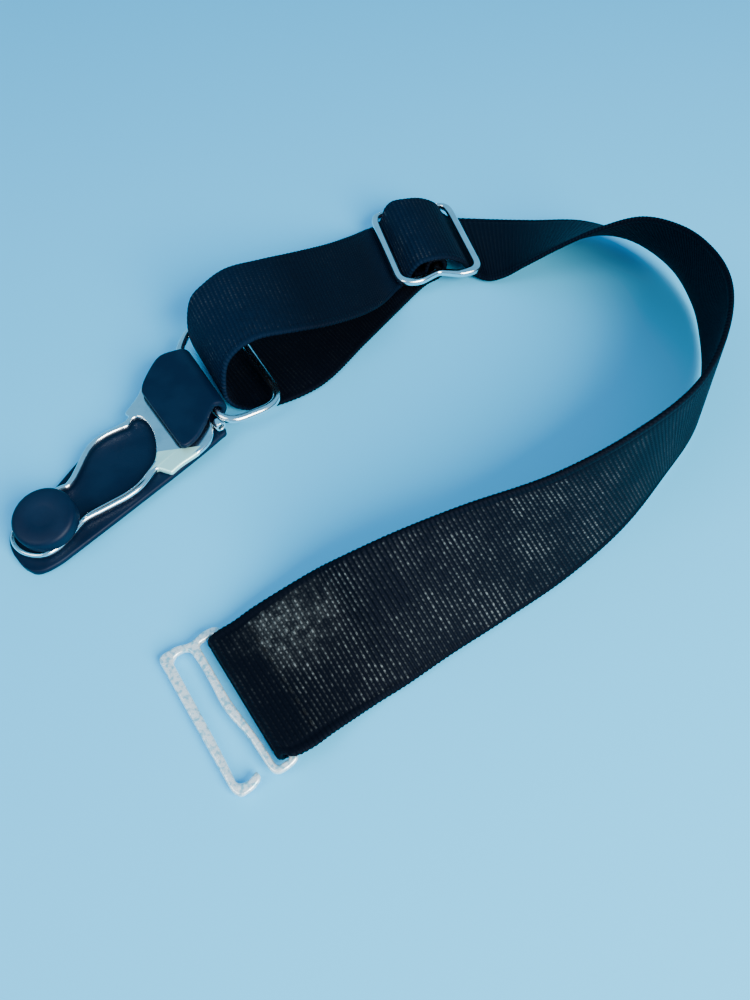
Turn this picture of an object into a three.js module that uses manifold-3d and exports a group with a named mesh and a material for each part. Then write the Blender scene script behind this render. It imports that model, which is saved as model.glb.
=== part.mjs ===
// Sock suspender: an elastic strap with a hook at one end and a button clip at the other, lying on a table.
// Millimetres, +Z up. X runs to the right of the picture and Y away from the viewer.
import * as THREE from 'three';
import ManifoldModule from 'manifold-3d';
import { mergeVertices } from 'three/addons/utils/BufferGeometryUtils.js';

// Strap
const STRAP_THICKNESS = 1.1;
const STRAP_STEP = 3.2;
const STRAP_CHAMFER = 0.3;
// Hook, placed by the middle of the strap's fold
const HOOK = { x: -21.05, y: 56.35, z: 1.32, heading: 33.5, tilt: 6.5, thickness: 1.1 };
// Slider, placed by the middle of its middle bar
const SLIDER = { x: 11.5, y: 168.5, bottom: 3.0, heading: 15, thickness: 1.6 };
// Ring of round wire
const WIRE_RADIUS = 0.85;
const WIRE_SIDES = 10;
// Clip, placed by the foot of the button's axis
const CLIP = { x: -58, y: 88.86, z: 0.32, heading: 50, pitch: 2.3 };
const TONGUE_THICKNESS = 1.3;
const TONGUE_END_RADIUS = 7.8;
const TONGUE_TIP_WIDTH = 2.4;
const FRAME_BOTTOM = 1.6;
const FRAME_THICKNESS = 1.2;
const FRAME_RIM = 1.5;
const EDGE_BEVEL = 0.25;
const CORNER_STEPS = 3;
const BUTTON_SEGMENTS = 28;
// The middle of the object's base in the coordinates above
const BASE_CENTRE = { x: 2.96, y: 112.65 };

const table = (columns, rows) =>
  rows.map((row) => Object.fromEntries(columns.map((name, i) => [name, row[i]])));
const radians = THREE.MathUtils.degToRad;

// The strap's centre line, across heading, lift of the inner edge and width, all on the table's axes
const RIBBON_COLUMNS = ['x', 'y', 'z', 'across', 'lift', 'width'];
// From the hook along the curve to the slider
const LONG_RUN = table(RIBBON_COLUMNS, [
  [-4.6, 66.1, 4.8, 119.7, 20.0, 23.8],
  [-0.3, 67.6, 6.6, 122.6, 31.0, 23.3],
  [8.4, 71.5, 9.0, 124.0, 45.5, 23.0],
  [17.4, 75.6, 10.5, 126.5, 57.0, 23.2],
  [30.8, 82.1, 11.9, 135.2, 71.5, 23.5],
  [43.0, 90.3, 13.6, 150.5, 81.5, 24.5],
  [53.6, 101.0, 13.9, 147.0, 88.6, 24.5],
  [62.0, 113.7, 13.6, 139.4, 86.5, 24.5],
  [66.9, 128.0, 13.1, 155.9, 84.7, 24.5],
  [67.7, 138.1, 12.8, 181.5, 78.5, 24.5],
  [66.1, 148.0, 12.6, 196.5, 66.7, 24.5],
  [61.3, 156.8, 12.1, 210.6, 51.1, 24.5],
  [54.0, 162.9, 10.1, 228.6, 34.7, 24.5],
  [45.2, 167.1, 7.1, 244.3, 20.5, 24.1],
  [36.1, 168.9, 3.5, 258.1, 12.0, 23.8],
  [30.1, 169.3, 1.7, 266.4, 4.7, 23.6],
  [25.5, 169.4, 1.2, 273.1, 1.5, 23.5],
]);
// From the slider's left bar over the loop, round the ring and back along the table
const END_LOOP = table(RIBBON_COLUMNS, [
  [0.6, 162.4, 2.9, 286.0, 0.0, 24.0],
  [-2.7, 154.8, 6.5, 287.1, 0.0, 24.6],
  [-7.1, 148.8, 9.1, 288.0, 0.5, 24.8],
  [-13.8, 142.7, 11.8, 289.2, 1.1, 24.8],
  [-20.4, 139.3, 12.9, 290.3, 1.6, 24.3],
  [-27.3, 136.4, 13.2, 291.4, 2.0, 23.6],
  [-31.2, 133.3, 12.3, 293.0, 1.8, 22.6],
  [-33.4, 131.2, 10.6, 295.5, 1.0, 22.0],
  [-34.0, 127.9, 7.0, 298.0, -0.4, 19.8],
  [-33.5, 126.8, 3.6, 298.5, 0.0, 18.2],
  [-32.0, 126.9, 1.35, 300.0, 0.0, 18.8],
  [-28.6, 128.4, 0.68, 303.0, 0.0, 22.0],
  [-18.9, 134.3, 0.68, 308.0, 0.0, 23.6],
  [-8.2, 148.4, 0.68, 304.0, 0.0, 23.6],
  [-0.4, 157.9, 0.66, 296.0, 0.0, 23.0],
]);
// Where the strap passes the slider's bars: run is the distance along the slider, side the shift across it
const SLIDER_COLUMNS = ['run', 'side', 'z', 'width'];
const OVER_SLIDER = table(SLIDER_COLUMNS, [
  [9.6, -1.0, 1.3, 23.4],
  [7.5, -0.1, 2.6, 22.8],
  [5.9, 0.0, 5.1, 23.0],
  [4.0, 0.0, 6.5, 23.0],
  [1.4, 0.0, 7.5, 23.0],
  [-1.6, 0.0, 7.8, 23.0],
  [-4.6, 0.0, 7.2, 23.0],
  [-6.1, 0.0, 5.6, 22.8],
  [-6.8, 0.0, 3.8, 22.2],
  [-8.2, -0.3, 2.15, 22.2],
  [-10.0, -1.0, 2.05, 23.2],
]);
const SEWN_END = table(SLIDER_COLUMNS, [
  [-2.6, -0.6, 0.66, 20.5],
  [0.6, 0.0, 0.7, 19.0],
  [1.9, 0.0, 1.9, 18.6],
  [2.1, 0.0, 4.0, 18.6],
  [1.4, 0.0, 5.3, 18.6],
  [0.0, 0.0, 5.6, 18.6],
  [-1.4, 0.0, 5.3, 18.6],
  [-2.1, 0.0, 4.0, 18.6],
  [-2.5, 0.0, 2.6, 18.6],
  [-5.2, 0.0, 2.1, 18.6],
]);
// The hem round the hook's far bar: along is the distance from the fold
const HEM_COLUMNS = ['along', 'z', 'lift', 'width'];
const HEM = table(HEM_COLUMNS, [
  [9.0, 0.62, 0, 23.6],
  [5.5, 0.62, 0, 23.6],
  [1.95, 0.62, 0, 23.6],
  [0.85, 1.02, 0, 23.6],
  [0.4, 2.09, 0, 23.6],
  [0.85, 3.16, 0, 23.6],
  [1.95, 3.62, 0, 23.8],
  [5.0, 3.5, 0, 24.6],
  [9.2, 3.4, 6, 25.0],
]);

const unit = (heading, lift = 0) =>
  new THREE.Vector3(
    Math.cos(radians(lift)) * Math.cos(radians(heading)),
    Math.cos(radians(lift)) * Math.sin(radians(heading)),
    Math.sin(radians(lift)),
  );

// A row of a ribbon, as its middle and the vector from one edge to the other
const ribbonRow = ({ x, y, z, across, lift, width }) => ({
  middle: new THREE.Vector3(x, y, z),
  span: unit(across, lift).multiplyScalar(width),
});

function sliderRow({ run, side, z, width }) {
  const middle = new THREE.Vector3(SLIDER.x, SLIDER.y, z)
    .addScaledVector(unit(SLIDER.heading), run)
    .addScaledVector(unit(SLIDER.heading + 90), side);
  return { middle, span: unit(SLIDER.heading - 90).multiplyScalar(width) };
}

function hemRow({ along, z, lift, width }) {
  const middle = new THREE.Vector3(HOOK.x, HOOK.y, z).addScaledVector(unit(HOOK.heading), along);
  return { middle, span: unit(HOOK.heading + 90, lift).multiplyScalar(width) };
}

// Joins closed rings of points into one skin, either with an end face on both ends or round and round
function skin(rings, closed = false) {
  const size = rings[0].length;
  const positions = rings.flat().flatMap((point) => point.toArray());
  const faces = [];
  for (let ring = 0; ring < rings.length - (closed ? 0 : 1); ring += 1) {
    const next = (ring + 1) % rings.length;
    for (let side = 0; side < size; side += 1) {
      const other = (side + 1) % size;
      const [a, b] = [ring * size + side, ring * size + other];
      const [c, d] = [next * size + other, next * size + side];
      faces.push(a, b, c, a, c, d);
    }
  }
  if (!closed) {
    const last = (rings.length - 1) * size;
    for (let side = 1; side < size - 1; side += 1) {
      faces.push(0, side + 1, side, last, last + side, last + side + 1);
    }
  }
  const geometry = new THREE.BufferGeometry();
  geometry.setAttribute('position', new THREE.Float32BufferAttribute(positions, 3));
  geometry.setIndex(faces);
  return volume(geometry) < 0 ? turnedInsideOut(geometry) : geometry;
}

function volume(geometry) {
  const [a, b, c] = [new THREE.Vector3(), new THREE.Vector3(), new THREE.Vector3()];
  const { index, attributes } = geometry;
  let sum = 0;
  for (let i = 0; i < index.count; i += 3) {
    a.fromBufferAttribute(attributes.position, index.getX(i));
    b.fromBufferAttribute(attributes.position, index.getX(i + 1));
    c.fromBufferAttribute(attributes.position, index.getX(i + 2));
    sum += a.dot(b.cross(c)) / 6;
  }
  return sum;
}

function turnedInsideOut(geometry) {
  const faces = Array.from(geometry.index.array);
  for (let i = 0; i < faces.length; i += 3) [faces[i], faces[i + 1]] = [faces[i + 1], faces[i]];
  geometry.setIndex(faces);
  return geometry;
}

// A flat band with chamfered edges that follows a list of rows
function ribbon(rows, thickness, step) {
  const edge = (share) =>
    new THREE.CatmullRomCurve3(rows.map((row) => row.middle.clone().addScaledVector(row.span, share)));
  const [outer, inner] = [edge(-0.5), edge(0.5)];
  const half = thickness / 2;
  const shoulder = half - STRAP_CHAMFER;
  const middleAt = (t) => outer.getPoint(t).add(inner.getPoint(t)).multiplyScalar(0.5);
  const ring = (t) => {
    const span = inner.getPoint(t).sub(outer.getPoint(t));
    const reach = span.length() / 2;
    const along = middleAt(Math.min(t + 0.0005, 1)).sub(middleAt(Math.max(t - 0.0005, 0)));
    const face = along.cross(span.normalize()).normalize();
    const at = (across, up) =>
      middleAt(t).addScaledVector(span, across).addScaledVector(face, up);
    const inset = reach - STRAP_CHAMFER;
    return [
      at(-reach, -shoulder), at(-inset, -half), at(inset, -half), at(reach, -shoulder),
      at(reach, shoulder), at(inset, half), at(-inset, half), at(-reach, shoulder),
    ];
  };
  const last = rows.length - 1;
  const rings = [];
  for (let row = 0; row < last; row += 1) {
    const pieces = Math.ceil(rows[row].middle.distanceTo(rows[row + 1].middle) / step);
    for (let i = 0; i < pieces; i += 1) rings.push(ring((row + i / pieces) / last));
  }
  rings.push(ring(1));
  return skin(rings);
}

// A closed outline with rounded corners, from rows of corner and radius
function roundedPath(corners, path) {
  const count = corners.length;
  corners.forEach(([x, y, radius], i) => {
    const corner = new THREE.Vector2(x, y);
    const toward = ([px, py]) => {
      const way = new THREE.Vector2(px, py).sub(corner);
      return corner.clone().addScaledVector(way.clone().normalize(), Math.min(radius, way.length() / 2.1));
    };
    const start = toward(corners[(i + count - 1) % count]);
    const end = toward(corners[(i + 1) % count]);
    if (i === 0) path.moveTo(start.x, start.y);
    else path.lineTo(start.x, start.y);
    path.quadraticCurveTo(x, y, end.x, end.y);
  });
  path.closePath();
  return path;
}

// A flat plate with bevelled edges, its underside at z = 0
function plate(shape, thickness) {
  const geometry = new THREE.ExtrudeGeometry(shape, {
    depth: thickness - 2 * EDGE_BEVEL,
    bevelEnabled: true,
    bevelThickness: EDGE_BEVEL,
    bevelSize: EDGE_BEVEL,
    bevelOffset: -EDGE_BEVEL,
    bevelSegments: 1,
    curveSegments: CORNER_STEPS,
  });
  geometry.translate(0, 0, EDGE_BEVEL);
  return geometry;
}

// Booleans
const wasm = await ManifoldModule();
wasm.setup();

function toManifold(geometry) {
  const bare = new THREE.BufferGeometry();
  bare.setAttribute('position', geometry.attributes.position.clone());
  if (geometry.index) bare.setIndex(geometry.index.clone());
  const merged = mergeVertices(bare, 1e-4);
  return new wasm.Manifold(new wasm.Mesh({
    numProp: 3,
    vertProperties: new Float32Array(merged.attributes.position.array),
    triVerts: new Uint32Array(merged.index.array),
  }));
}

function fromManifold(solid) {
  const mesh = solid.getMesh();
  const geometry = new THREE.BufferGeometry();
  geometry.setAttribute('position', new THREE.BufferAttribute(new Float32Array(mesh.vertProperties), 3));
  geometry.setIndex(new THREE.BufferAttribute(new Uint32Array(mesh.triVerts), 1));
  return geometry;
}

// End hook: an open outer bar, a middle bar, and a far bar inside the hem
const HOOK_OUTLINE = [
  [-8.0, -12.8, 2.0], [-5.2, -13.0, 1.0], [-3.2, -12.5, 0.6], [-3.2, -11.2, 0.6], [-6.1, -11.3, 0.8],
  [-5.8, -5.0, 4.0], [-6.1, 12.5, 1.0], [-2.5, 12.5, 1.0], [-2.9, 2.0, 6.0], [-1.9, -13.4, 1.8],
  [3.2, -13.4, 1.8], [3.2, 14.2, 1.8], [-8.0, 14.2, 2.5],
];
const HOOK_SLOT = [[-0.6, 12.5, 0.6], [1.7, 12.5, 0.6], [1.7, -12.1, 0.6], [-0.6, -12.1, 0.6]];

function endHook() {
  const shape = roundedPath(HOOK_OUTLINE, new THREE.Shape());
  shape.holes.push(roundedPath(HOOK_SLOT, new THREE.Path()));
  return plate(shape, HOOK.thickness).rotateY(-radians(HOOK.tilt));
}

// Slider: two outer bars and a middle bar, with the sides drawn in at the middle bar
const SLIDER_HALF = { run: 10.1, side: 13.6 };
const SLIDER_BAR = 1.7;
const WAIST = { run: 1.6, depth: 1.7 };

function strapSlider() {
  const { run, side } = SLIDER_HALF;
  const waistSide = side - WAIST.depth;
  const near = [
    [-run, -side, 3.0], [-2 * WAIST.run, -side, 1.0], [-0.6, -waistSide, 1.0],
    [0.6, -waistSide, 1.0], [2 * WAIST.run, -side, 1.0], [run, -side, 3.0],
  ];
  const far = near.map(([x, y, radius]) => [-x, -y, radius]);
  const shape = roundedPath([...near, ...far], new THREE.Shape());
  const innerSide = side - SLIDER_BAR;
  const middleHalf = SLIDER_BAR / 2;
  for (const sign of [-1, 1]) {
    const corners = [
      [sign * middleHalf, -waistSide + 1.4, 0.4], [sign * 2.6 * WAIST.run, -innerSide, 1.0],
      [sign * (run - SLIDER_BAR), -innerSide, 1.6], [sign * (run - SLIDER_BAR), innerSide, 1.6],
      [sign * 2.6 * WAIST.run, innerSide, 1.0], [sign * middleHalf, waistSide - 1.4, 0.4],
    ];
    shape.holes.push(roundedPath(corners, new THREE.Path()));
  }
  return plate(shape, SLIDER.thickness);
}

// Ring: a rounded four-sided loop of wire, from the corners of its centre line
const RING_CORNERS = table(['x', 'y', 'z', 'radius'], [
  [-18.1, 118.8, 3.2, 5.0],
  [-29.0, 111.6, 4.26, 4.6],
  [-43.2, 134.3, 4.6, 4.8],
  [-31.9, 142.1, 4.2, 6.4],
]);

function wireRing() {
  const corners = RING_CORNERS.map(({ x, y, z }) => new THREE.Vector3(x, y, z));
  const path = new THREE.CurvePath();
  const cut = (i, j) => {
    const way = corners[j].clone().sub(corners[i]);
    return corners[i].clone().addScaledVector(way.normalize(), RING_CORNERS[i].radius);
  };
  corners.forEach((corner, i) => {
    const [before, after] = [(i + 3) % 4, (i + 1) % 4];
    path.add(new THREE.QuadraticBezierCurve3(cut(i, before), corner, cut(i, after)));
    path.add(new THREE.LineCurve3(cut(i, after), cut(after, i)));
  });
  const rings = [];
  const up = new THREE.Vector3(0, 0, 1);
  for (const curve of path.curves) {
    const pieces = curve instanceof THREE.LineCurve3 ? 2 : 6;
    for (let i = 0; i < pieces; i += 1) {
      const middle = curve.getPoint(i / pieces);
      const side = curve.getTangent(i / pieces).cross(up).normalize();
      const top = side.clone().cross(curve.getTangent(i / pieces));
      rings.push(Array.from({ length: WIRE_SIDES }, (_, k) => {
        const angle = (2 * Math.PI * k) / WIRE_SIDES;
        return middle.clone().addScaledVector(side, WIRE_RADIUS * Math.cos(angle))
          .addScaledVector(top, WIRE_RADIUS * Math.sin(angle));
      }));
    }
  }
  return skin(rings, true);
}

// Clip frame, in the clip's own axes: x runs from the button to the ring. The opening's two sides by x
const KEYHOLE = table(['x', 'far', 'near'], [
  [-2.4, 2.4, -2.3],
  [0.5, 3.7, -3.3],
  [4.0, 4.1, -2.6],
  [7.5, 4.4, -2.9],
  [11.0, 5.7, -4.8],
  [15.0, 7.4, -5.6],
  [19.0, 8.5, -4.7],
  [23.0, 8.3, -2.3],
  [26.0, 8.0, 1.2],
]);
const KEYHOLE_TIPS = { button: [-3.3, 0.3], ring: [27.3, 5.2] };
const KEYHOLE_POINTS = 64;
const PLATE_OUTLINE = [
  [24.8, 9.9, 0.8], [30.5, 11.3, 1.5], [34.6, 13.8, 0.8], [37.9, 13.0, 1.2], [34.6, -5.8, 1.0],
  [33.4, -7.7, 1.5], [28.6, -8.7, 2.0], [22.0, -7.6, 1.0], [18.5, -5.4, 1.0],
];
const WINDOW = [[32.2, 11.0, 0.6], [27.6, -5.2, 0.6], [32.5, -5.2, 0.6], [35.6, 11.4, 0.6]];

function keyholeOutline(offset) {
  const points = [
    new THREE.Vector2(...KEYHOLE_TIPS.button),
    ...KEYHOLE.map(({ x, near }) => new THREE.Vector2(x, near)),
    new THREE.Vector2(...KEYHOLE_TIPS.ring),
    ...KEYHOLE.map(({ x, far }) => new THREE.Vector2(x, far)).reverse(),
  ];
  const curve = new THREE.CatmullRomCurve3(points.map(({ x, y }) => new THREE.Vector3(x, y, 0)), true);
  const up = new THREE.Vector3(0, 0, 1);
  return Array.from({ length: KEYHOLE_POINTS }, (_, i) => {
    const share = i / KEYHOLE_POINTS;
    const outward = curve.getTangentAt(share).cross(up);
    const { x, y } = curve.getPointAt(share).addScaledVector(outward, offset);
    return new THREE.Vector2(x, y);
  });
}

function clipFrame() {
  const flat = (outline) => toManifold(plate(new THREE.Shape(outline), FRAME_THICKNESS));
  const cutter = (shape) =>
    toManifold(new THREE.ExtrudeGeometry(shape, { depth: 3 * FRAME_THICKNESS, bevelEnabled: false })
      .translate(0, 0, -FRAME_THICKNESS));
  const solid = flat(keyholeOutline(FRAME_RIM))
    .add(toManifold(plate(roundedPath(PLATE_OUTLINE, new THREE.Shape()), FRAME_THICKNESS)))
    .subtract(cutter(new THREE.Shape(keyholeOutline(0))))
    .subtract(cutter(roundedPath(WINDOW, new THREE.Shape())));
  return fromManifold(solid).translate(0, 0, FRAME_BOTTOM);
}

// Clip tongue: a strip under the frame that folds over the ring and ends as a tab on the frame's plate
const TONGUE_COLUMNS = ['x', 'y', 'z', 'across', 'width'];
const TONGUE_STRIP = table(TONGUE_COLUMNS, [
  [5.0, -0.6, 0.65, 90, 15.6],
  [15.0, 0.4, 0.65, 90, 17.8],
  [27.0, 0.3, 0.65, 89, 18.2],
  [35.0, 0.0, 0.65, 85, 17.6],
  [37.6, 1.0, 0.65, 79, 18.4],
]);
const FOLD = { x: 40.1, y: 4.4, z: 2.5, radius: 1.85, across: 72, width: 17.4, steps: 6 };
const TAB = table(TONGUE_COLUMNS, [
  [36.5, 4.2, 4.15, 72, 20.0],
  [33.4, 3.6, 3.8, 73, 20.0],
  [30.6, 3.0, 3.75, 73, 18.4],
  [29.5, 2.7, 3.75, 73, 16.6],
]);

function clipTongue() {
  const roundEnd = [-1, -0.96, -0.86, -0.68, -0.42, 0].map((share) => ({
    x: share * TONGUE_END_RADIUS,
    y: TONGUE_STRIP[0].y,
    z: TONGUE_THICKNESS / 2,
    across: 90,
    width: Math.max(2 * TONGUE_END_RADIUS * Math.sqrt(1 - share * share), TONGUE_TIP_WIDTH),
  }));
  const fold = Array.from({ length: FOLD.steps + 1 }, (_, i) => {
    const turn = Math.PI * (i / FOLD.steps - 0.5);
    const forward = unit(FOLD.across - 90).multiplyScalar(FOLD.radius * Math.cos(turn));
    return {
      x: FOLD.x + forward.x,
      y: FOLD.y + forward.y,
      z: FOLD.z + FOLD.radius * Math.sin(turn),
      across: FOLD.across,
      width: FOLD.width,
    };
  });
  const rows = [...roundEnd, ...TONGUE_STRIP, ...fold, ...TAB].map((row) => ribbonRow({ ...row, lift: 0 }));
  return ribbon(rows, TONGUE_THICKNESS, 6);
}

// Grip button: a neck through the keyhole and a flat round cap, as radius and height from the foot up
const BUTTON_PROFILE = [
  [0, 2.0], [2.2, 2.0], [2.2, 4.0], [5.3, 4.0], [5.75, 4.5], [5.9, 5.3], [5.75, 6.3], [5.2, 7.0],
  [4.3, 7.4], [0, 7.4],
];
const BUTTON_FOOT = { x: 0.8, y: 0.3 };
const BUTTON_LEAN = { heading: 200, angle: 8 };

function gripButton() {
  const profile = BUTTON_PROFILE.map(([radius, height]) => new THREE.Vector2(radius, height));
  const lean = new THREE.Matrix4()
    .makeRotationAxis(unit(BUTTON_LEAN.heading + 90), radians(BUTTON_LEAN.angle));
  return new THREE.LatheGeometry(profile, BUTTON_SEGMENTS)
    .rotateX(Math.PI / 2)
    .applyMatrix4(lean)
    .translate(BUTTON_FOOT.x, BUTTON_FOOT.y, 0);
}

const metal = () => new THREE.MeshStandardMaterial({ color: 0xc9cdd2, roughness: 0.25, metalness: 1 });
const webbing = new THREE.MeshStandardMaterial({ color: 0x101218, roughness: 0.8, metalness: 0 });
const rubber = new THREE.MeshStandardMaterial({ color: 0x131a26, roughness: 0.6, metalness: 0 });

function piece(name, geometry, material) {
  const mesh = new THREE.Mesh(geometry, material);
  mesh.name = name;
  return mesh;
}

const strapRows = [
  ...HEM.map(hemRow), ...LONG_RUN.map(ribbonRow), ...OVER_SLIDER.map(sliderRow),
  ...END_LOOP.map(ribbonRow), ...SEWN_END.map(sliderRow),
];

const suspender = new THREE.Group();
suspender.add(piece('elastic_strap', ribbon(strapRows, STRAP_THICKNESS, STRAP_STEP), webbing));

const hook = piece('end_hook', endHook(), metal());
hook.position.set(HOOK.x, HOOK.y, HOOK.z);
hook.rotation.z = radians(HOOK.heading);
suspender.add(hook);

const slider = piece('strap_slider', strapSlider(), metal());
slider.position.set(SLIDER.x, SLIDER.y, SLIDER.bottom);
slider.rotation.z = radians(SLIDER.heading);
suspender.add(slider);

suspender.add(piece('wire_ring', wireRing(), metal()));

const clip = new THREE.Group();
clip.position.set(CLIP.x, CLIP.y, CLIP.z);
clip.rotation.set(0, -radians(CLIP.pitch), radians(CLIP.heading), 'ZYX');
clip.add(piece('clip_frame', clipFrame(), metal()));
clip.add(piece('clip_tongue', clipTongue(), rubber));
clip.add(piece('grip_button', gripButton(), rubber));
suspender.add(clip);

for (const child of suspender.children) {
  child.position.x -= BASE_CENTRE.x;
  child.position.y -= BASE_CENTRE.y;
}

export default suspender;
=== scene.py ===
"""Looks of the sock suspender: ribbed elastic webbing, bright metal and dark rubber."""

import logging
import math
from collections.abc import Callable, Sequence
from dataclasses import dataclass, field
from enum import Enum
from typing import NamedTuple

import bmesh
import bpy
from mathutils import Matrix, Vector


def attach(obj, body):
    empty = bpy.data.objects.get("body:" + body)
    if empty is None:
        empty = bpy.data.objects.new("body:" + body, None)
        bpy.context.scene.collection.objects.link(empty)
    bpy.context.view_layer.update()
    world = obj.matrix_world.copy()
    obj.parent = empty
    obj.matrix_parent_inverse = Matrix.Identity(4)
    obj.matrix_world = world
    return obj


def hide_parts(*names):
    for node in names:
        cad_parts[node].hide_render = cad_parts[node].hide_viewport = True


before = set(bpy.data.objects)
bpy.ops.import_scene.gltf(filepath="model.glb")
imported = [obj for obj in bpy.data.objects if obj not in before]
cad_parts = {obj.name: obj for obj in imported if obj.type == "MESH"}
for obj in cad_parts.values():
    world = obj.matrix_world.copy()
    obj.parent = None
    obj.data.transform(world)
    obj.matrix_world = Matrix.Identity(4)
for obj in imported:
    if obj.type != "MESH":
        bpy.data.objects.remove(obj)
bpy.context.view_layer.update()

LOG = logging.getLogger("sock_suspender")
MM = 0.001
# The middle of the object's base on the floor's axes, which the rows below use, in millimetres
BASE_CENTRE = Vector((2.96, 112.65, 0.0))
# Points nearer to each other than this are merged, in millimetres
MERGE = 1e-4

Colour = tuple[float, float, float, float]
Outline = Sequence[tuple[float, float, float]]


class Slot(Enum):
    """Names of the material slots."""

    WEBBING = "webbing"
    METAL = "bright_metal"
    RUBBER = "rubber"


class Shine(NamedTuple):
    """How the webbing looks at a length along it: its beads' painted glint, its painted blue sheen and its
    ribs' skew. The glint and the sheen stand in for how the light falls on each part of the strap; the skew
    is the ribs' real slant.

    The length and the skew are in millimetres. The skew moves a rib's far end back and its near end on.
    """

    length: float
    painted_glint: float
    painted_sheen: float = 0.0
    skew: float = 0.0


class BandRow(NamedTuple):
    """A row of a band on the floor's axes, in millimetres and degrees."""

    x: float
    y: float
    z: float
    across: float
    lift: float
    width: float


class SliderRow(NamedTuple):
    """A row of the strap where it passes the slider's bars, in millimetres."""

    run: float
    side: float
    z: float
    width: float


class HemRow(NamedTuple):
    """A row of the hem, by its distance from the fold, in millimetres and degrees."""

    along: float
    z: float
    lift: float
    width: float
    side: float = 0.0


class TongueRow(NamedTuple):
    """A row of the clip's tongue on the clip's own axes, in millimetres and degrees."""

    x: float
    y: float
    z: float
    across: float
    width: float


class SoftLight(NamedTuple):
    """A square soft light: its place and side in millimetres, its power in watts and its colour."""

    name: str
    place: tuple[float, float, float]
    size: float
    power: float
    colour: tuple[float, float, float]


class RingCorner(NamedTuple):
    """A corner of the ring's wire and how far its rounding reaches, in millimetres."""

    x: float
    y: float
    z: float
    rounding: float


def unit(heading: float, lift: float = 0.0) -> Vector:
    """Gives the unit vector at a heading and a lift in degrees.

    Args:
        heading: Angle from +X in the floor's plane.
        lift: Angle above that plane.

    Returns:
        The direction.
    """
    turn, rise = math.radians(heading), math.radians(lift)
    return Vector((math.cos(rise) * math.cos(turn), math.cos(rise) * math.sin(turn), math.sin(rise)))


class Spline:
    """A centripetal Catmull-Rom curve through points, as the part's own source uses."""

    def __init__(self, points: Sequence[Vector], closed: bool = False) -> None:
        """Keeps the points.

        Args:
            points: Points that the curve passes through.
            closed: True for a curve that goes round.
        """
        self.points = list(points)
        self.closed = closed

    def _neighbour(self, index: int) -> Vector:
        """Gives a point, or one past an open end.

        Args:
            index: The point's number, from -1 to one past the last.

        Returns:
            The point.
        """
        count = len(self.points)
        if self.closed:
            return self.points[index % count]
        if index < 0:
            return 2 * self.points[0] - self.points[1]
        if index >= count:
            return 2 * self.points[-1] - self.points[-2]
        return self.points[index]

    def point(self, share: float) -> Vector:
        """Gives the point at a share of the way along.

        Args:
            share: From 0 at the start to 1 at the end, in equal steps per given point.

        Returns:
            The point.
        """
        spans = len(self.points) - (0 if self.closed else 1)
        place = min(max(share, 0.0), 1.0) * spans
        index = min(int(place), spans - 1)
        rest = place - index
        a, b, c, d = (self._neighbour(index + step) for step in (-1, 0, 1, 2))
        first, middle, last = (math.sqrt((q - p).length) or 1.0 for p, q in ((a, b), (b, c), (c, d)))
        leave = ((b - a) / first - (c - a) / (first + middle) + (c - b) / middle) * middle
        arrive = ((c - b) / middle - (d - b) / (middle + last) + (d - c) / last) * middle
        return (
            b
            + leave * rest
            + (3 * (c - b) - 2 * leave - arrive) * rest**2
            + (2 * (b - c) + leave + arrive) * rest**3
        )


class BandPlace(NamedTuple):
    """Where a band is at one place along it."""

    middle: Vector
    across: Vector
    reach: float
    face: Vector


class BandPath:
    """The path of a flat band through rows, each a middle and a vector from edge to edge."""

    SAMPLES_PER_ROW = 40
    NUDGE = 0.0005

    def __init__(
        self, rows: Sequence[tuple[Vector, Vector]], skew: Callable[[float], float] | None = None
    ) -> None:
        """Makes the two edges' curves and measures the band's length.

        Args:
            rows: The middle and the span of each row, in millimetres.
            skew: Gives how far the outer edge is ahead of the middle at a length.
        """
        self.skew = skew
        self.outer = Spline([middle - span / 2 for middle, span in rows])
        self.inner = Spline([middle + span / 2 for middle, span in rows])
        count = self.SAMPLES_PER_ROW * (len(rows) - 1)
        self.shares = [i / count for i in range(count + 1)]
        self.lengths = [0.0]
        before = self.middle(0.0)
        for share in self.shares[1:]:
            here = self.middle(share)
            self.lengths.append(self.lengths[-1] + (here - before).length)
            before = here

    @property
    def length(self) -> float:
        """The length of the band's middle line."""
        return self.lengths[-1]

    def middle(self, share: float) -> Vector:
        """Gives the middle between the two edges."""
        return (self.outer.point(share) + self.inner.point(share)) / 2

    def share_at(self, length: float) -> float:
        """Finds the share of the way at a length along the band.

        Args:
            length: Distance from the band's start.

        Returns:
            The share.
        """
        low, high = 0, len(self.lengths) - 1
        while high - low > 1:
            half = (low + high) // 2
            low, high = (half, high) if self.lengths[half] <= length else (low, half)
        span = self.lengths[high] - self.lengths[low] or 1.0
        part = min(max((length - self.lengths[low]) / span, 0.0), 1.0)
        return self.shares[low] + part * (self.shares[high] - self.shares[low])

    def place(self, length: float) -> BandPlace:
        """Gives the band's place and directions at a length along it.

        Args:
            length: Distance from the band's start.

        Returns:
            The place.
        """
        share = self.share_at(length)
        skew = self.skew(length) if self.skew else 0.0
        inner = self.inner.point(self.share_at(length - skew))
        outer = self.outer.point(self.share_at(length + skew))
        along = self.middle(min(share + self.NUDGE, 1)) - self.middle(max(share - self.NUDGE, 0))
        across = (inner - outer).normalized()
        face = along.cross(across).normalized()
        return BandPlace((inner + outer) / 2, across, (inner - outer).length / 2, face)


class SectionPoint(NamedTuple):
    """A point of a band's section: its share from edge to edge, shift across, height, painted glint and
    painted blue sheen.
    """

    share: float
    shift: float
    height: float
    painted_glint: float = 0.0
    painted_sheen: float = 0.0


def to_frame(place: Matrix) -> Matrix:
    """Gives the move from a place's own millimetres to the frame's metres."""
    return Matrix.Scale(MM, 4) @ Matrix.Translation(-BASE_CENTRE) @ place


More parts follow.
